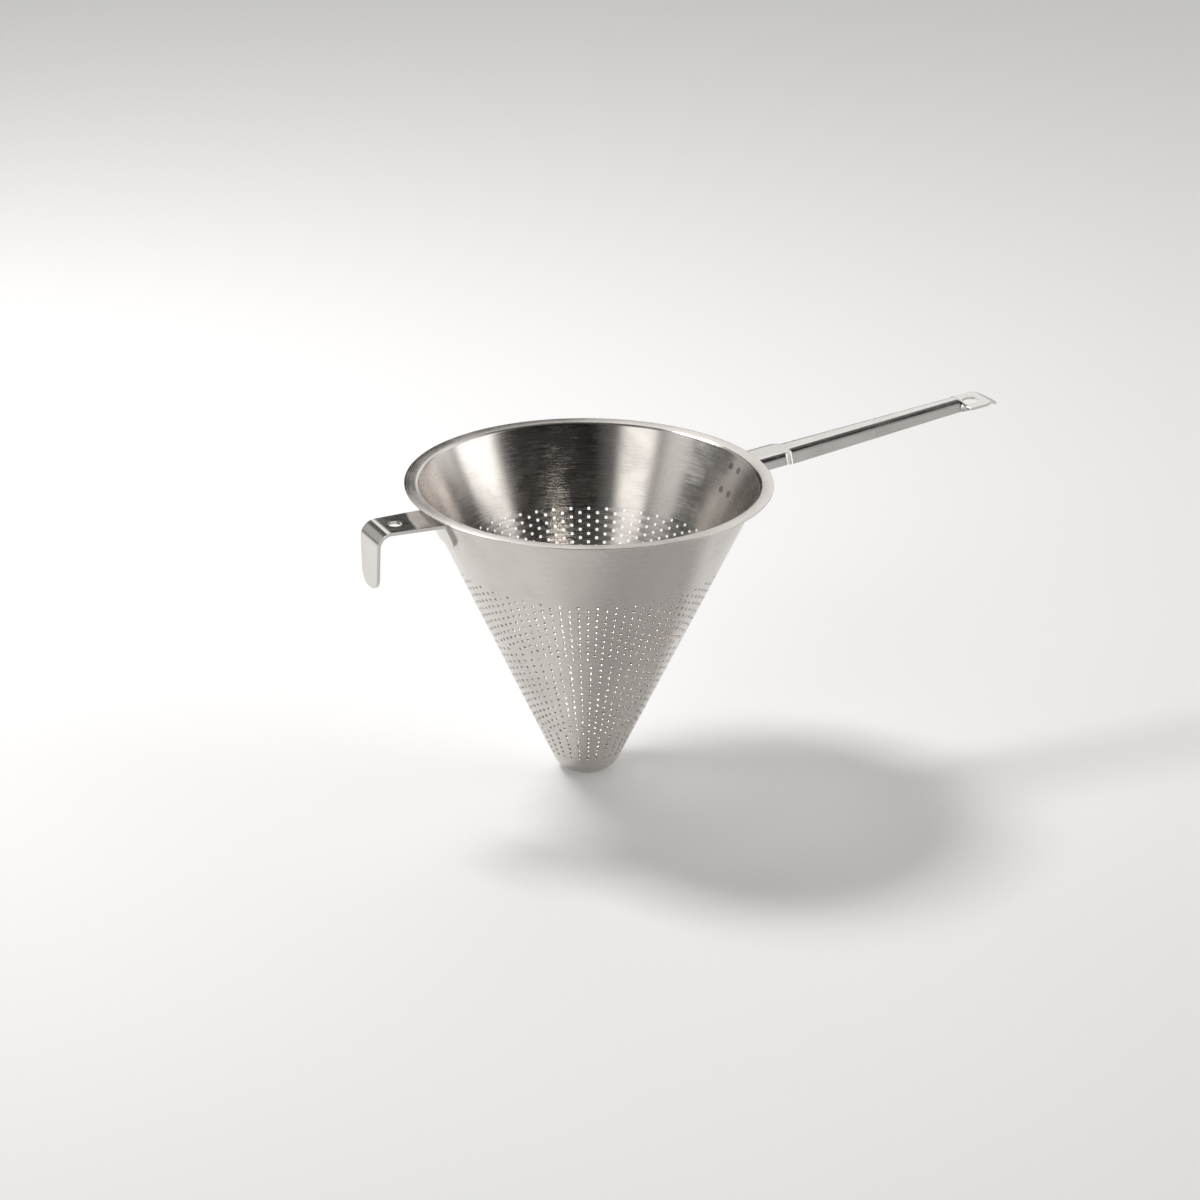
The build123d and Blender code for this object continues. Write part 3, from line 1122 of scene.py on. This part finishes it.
    def folded(self, place: float, flat: float, bend_length: float, fold: float) -> Pair:
        """Place across and below the flat top of a point of the folded sheet.

        Args:
            place: distance from the middle, along the sheet.
            flat: half width of the flat top.
            bend_length: length of sheet in the bend.
            fold: the side's fold.

        Returns:
            The distance across and the distance down.
        """
        if place <= flat or fold == 0:
            return place, 0.0
        radius = bend_length / fold
        angle = min((place - flat) / bend_length, 1.0) * fold
        beyond = max(place - flat - bend_length, 0.0)
        across = flat + radius * math.sin(angle) + beyond * math.cos(fold)
        return across, radius * (1 - math.cos(angle)) + beyond * math.sin(fold)

    def dress(self, piece: bpy.types.Object) -> None:
        """Gives the handle its finish and its place in the frame."""
        piece.data.materials.clear()
        piece.data.materials.append(self.finish.material())
        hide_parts("handle")
        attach(piece, BODY)


@dataclass
class SpotWelds:
    """The weld spots under the hook's and the handle's tang, and their marks inside the cone."""

    cone: Cone
    finish: SatinSteel
    hook: Hook
    handle: Handle
    edge_gap: float = 7.5 * MM
    handle_gap: float = 4.5 * MM
    hook_gap: float = 7.0 * MM

    def marks(self) -> tuple[Triple, ...]:
        """Centres of the marks on the cone's inner skin."""
        cone = self.cone
        marks = []
        for side, top, tang, gap, rows in (
            (1.0, cone.flange_underside, self.handle.tang, self.handle_gap, (0.0, 1.0)),
            (-1.0, cone.height - self.hook.drop, self.hook.tang, self.hook_gap, (0.0,)),
        ):
            corner = cone.slope_distance(top)
            lowest = corner - tang + self.edge_gap
            for row in rows:
                distance = lowest + (tang - 2 * self.edge_gap) * row
                radius, height = cone.on_slope(distance, cone.sheet)
                for turn in (-gap / radius, gap / radius):
                    marks.append((side * radius * math.cos(turn), radius * math.sin(turn), height))
        return tuple(marks)

    def dress(self) -> None:
        """Gives the nuggets the darkened steel of an electrode mark."""
        made = self.finish.material()
        for name in ("hook_spot_welds", "handle_spot_welds"):
            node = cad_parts[name]
            node.data.materials.clear()
            node.data.materials.append(made)
            LOG.info("%s: darkened", name)


@dataclass(frozen=True)
class Lamp:
    """Square softbox that points at the strainer's foot, by its place seen from the front."""

    name: str
    to_right: float
    behind: float
    height: float
    size: float
    power: float


@dataclass(frozen=True)
class Panel:
    """Soft panel of the room that the steel mirrors, by its bounds seen from the strainer.

    All bounds are in degrees. A bearing of 0 is towards the front, and it grows to the right.
    """

    left: float
    right: float
    low: float
    high: float
    level: float
    soft: float = 5.0


@dataclass
class Studio:
    """Floor, room, lamps and the camera at the photograph's viewing angle."""

    azimuth: float = math.radians(-26.01)
    elevation: float = math.radians(22.34)
    roll: float = 0.0103
    distance: float = 2.107
    aim_height: float = 0.12
    focal_pixels: float = 3600.0
    image_pixels: float = 1200.0
    aim_pixel: Pair = (588.1, 578.1)
    sensor: float = 36.0
    sight: float = 50.0
    floor_size: float = 12.0
    floor_glow: float = 0.12
    room_level: float = 0.12
    floor_colour: Triple = (0.86, 0.855, 0.85)
    room_colour: Triple = (1.0, 0.985, 0.965)
    softboxes: tuple[Lamp, ...] = (
        Lamp("key softbox", -0.78, 0.5, 1.4, 0.4, 18.0),
        Lamp("fill softbox", 1.1, 1.1, 1.6, 1.0, 2.0),
    )
    panels: tuple[Panel, ...] = (
        Panel(72, 104, -5, 42, 2.2),
        Panel(108, 135, -5, 42, 1.0),
        Panel(-9, 66, 10, 70, 0.0),
        Panel(5, 80, -6, 7, 0.85, 3.0),
        Panel(-50, -24, 2, 42, 1.8),
        Panel(-78, -56, 2, 42, 0.85),
        Panel(-110, -82, 2, 42, 0.1),
        Panel(-140, -116, 2, 42, 0.6),
        Panel(-190, -160, 24, 60, 1.5, 3.0),
        Panel(-179, -148, 5, 25, 0.0, 1.5),
        Panel(146, 190, 8, 42, 1.15),
    )

    @property
    def to_camera(self) -> Vector:
        """Level direction from the strainer to the camera."""
        return Vector((math.sin(self.azimuth), -math.cos(self.azimuth), 0.0))

    @property
    def to_right(self) -> Vector:
        """Level direction to the camera's right."""
        return Vector((math.cos(self.azimuth), math.sin(self.azimuth), 0.0))

    def camera(self) -> None:
        """Sets the camera."""
        data = bpy.data.cameras.new("camera")
        data.sensor_width = self.sensor
        data.lens = self.focal_pixels / self.image_pixels * self.sensor
        middle = self.image_pixels / 2
        data.shift_x = (middle - self.aim_pixel[0]) / self.image_pixels
        data.shift_y = (self.aim_pixel[1] - middle) / self.image_pixels
        data.clip_end = self.sight
        made = bpy.data.objects.new("camera", data)
        bpy.context.scene.collection.objects.link(made)
        away = self.to_camera * math.cos(self.elevation)
        away.z = math.sin(self.elevation)
        made.location = away * self.distance + Vector((0.0, 0.0, self.aim_height))
        made.rotation_euler = away.to_track_quat("Z", "Y").to_euler()
        made.rotation_euler.rotate_axis("Z", self.roll)
        bpy.context.scene.camera = made

    def seen(self, nodes: Nodes) -> Socket:
        """One where the camera sees a surface, itself or mirrored, and zero elsewhere."""
        path = nodes.node("LightPath")
        seen = nodes.maths("MAXIMUM", path.outputs["Is Camera Ray"], path.outputs["Is Glossy Ray"])
        return nodes.maths("MAXIMUM", seen, path.outputs["Is Transmission Ray"])

    def floor(self) -> None:
        """Lays the plain pale floor."""
        half = self.floor_size / 2
        mesh = bpy.data.meshes.new("floor")
        corners = [(-half, -half, 0), (half, -half, 0), (half, half, 0), (-half, half, 0)]
        mesh.from_pydata(corners, [], [(0, 1, 2, 3)])
        made = make_object("floor", mesh)
        material = bpy.data.materials.new("pale floor")
        material.use_nodes = True
        nodes = Nodes(material.node_tree)
        pale = nodes.node("BsdfDiffuse", Color=(*self.floor_colour, 1.0))
        glow = nodes.node("Emission", Color=(1.0, 1.0, 1.0, 1.0))
        strength = nodes.maths("MULTIPLY", self.seen(nodes), self.floor_glow)
        nodes.join(strength, glow.inputs["Strength"])
        both = nodes.node("AddShader")
        nodes.join(pale.outputs[0], both.inputs[0])
        nodes.join(glow.outputs[0], both.inputs[1])
        nodes.join(both.outputs[0], nodes.node("OutputMaterial").inputs[0])
        mesh.materials.append(material)

    def lamps(self) -> None:
        """Hangs the soft lamps."""
        for lamp in self.softboxes:
            data = bpy.data.lights.new(lamp.name, "AREA")
            data.size = lamp.size
            data.energy = lamp.power
            made = bpy.data.objects.new(lamp.name, data)
            made.location = self.to_right * lamp.to_right - self.to_camera * lamp.behind
            made.location.z = lamp.height
            made.rotation_euler = made.location.to_track_quat("Z", "Y").to_euler()
            bpy.context.scene.collection.objects.link(made)

    def room(self) -> None:
        """Sets the room: white to the camera, and soft bright and dark panels to the steel."""
        world = bpy.data.worlds.new("room")
        bpy.context.scene.world = world
        world.use_nodes = True
        nodes = Nodes(world.node_tree)
        way = nodes.node("TexCoord").outputs["Generated"]
        right = nodes.vector("DOT_PRODUCT", way, self.to_right).outputs["Value"]
        front = nodes.vector("DOT_PRODUCT", way, self.to_camera).outputs["Value"]
        bearing = nodes.maths("MULTIPLY", nodes.maths("ARCTAN2", right, front), math.degrees(1))
        upward = nodes.maths("ARCSINE", nodes.parts(way)["Z"])
        height = nodes.maths("MULTIPLY", upward, math.degrees(1))
        level = self.room_level
        for panel in self.panels:
            level = self.add_panel(nodes, panel, bearing, height, level)
        camera = nodes.node("LightPath").outputs["Is Camera Ray"]
        unseen = nodes.maths("MULTIPLY", level, nodes.maths("SUBTRACT", 1.0, camera))
        level = nodes.maths("ADD", unseen, camera)
        light = nodes.node("Background", Color=(*self.room_colour, 1.0))
        nodes.join(level, light.inputs["Strength"])
        nodes.join(light.outputs[0], nodes.node("OutputWorld").inputs[0])

    def add_panel(self, nodes: Nodes, panel: Panel, bearing: Socket,
                  height: Socket, level: object) -> Socket:
        """Lays one panel over the room's light.

        Args:
            nodes: the world's nodes.
            panel: the panel.
            bearing: bearing of the direction looked in, in degrees.
            height: its height above the horizon, in degrees.
            level: light of the room without the panel.

        Returns:
            Light of the room with it.
        """
        soft = panel.soft
        bounds = (
            (bearing, panel.left, soft, 0.0), (bearing, panel.right, soft, 1.0),
            (height, panel.low, soft, 0.0), (height, panel.high, 2 * soft, 1.0),
        )
        share = 1.0
        for angle, bound, reach, before in bounds:
            inside = nodes.spread(angle, bound - reach, bound + reach, before, 1.0 - before)
            share = nodes.maths("MULTIPLY", share, inside)
        change = nodes.maths("MULTIPLY", share, nodes.maths("SUBTRACT", panel.level, level))
        return nodes.maths("ADD", level, change)

    def build(self) -> None:
        """Sets up the whole studio."""
        self.camera()
        self.floor()
        self.lamps()
        self.room()
        bpy.context.scene.view_settings.view_transform = "Standard"


def main() -> None:
    """Builds every piece."""
    logging.basicConfig(level=logging.INFO, format="%(name)s: %(message)s")
    cone = Cone()
    around, along = Brushing.ROUND, Brushing.ALONG
    spun = SatinSteel("satin steel, spun", (0.64, 0.606, 0.575), around, 0.22, 0.85, 0.05 * MM)
    polished = SatinSteel("polished steel, hook", (0.62, 0.596, 0.572), along, 0.12, 0.0, 0.03 * MM)
    satin = SatinSteel("satin steel, strip", (0.7, 0.68, 0.66), along, 0.2, 0.0, 0.03 * MM)
    dark = SatinSteel("darkened steel of a weld", (0.5, 0.48, 0.46), along, 0.4, 0.0, 0.02 * MM)
    hook = Hook(cone, polished)
    handle = Handle(cone, satin)
    welds = SpotWelds(cone, dark, hook, handle)
    body = StrainerBody(cone, replace(spun, weld_marks=welds.marks()))
    for part in (body, hook, handle):
        piece = part.build()
        part.dress(piece)
        LOG.info("%s: %d faces", piece.name, len(piece.data.polygons))
    welds.dress()
    Studio().build()


if __name__ == "__main__":
    main()
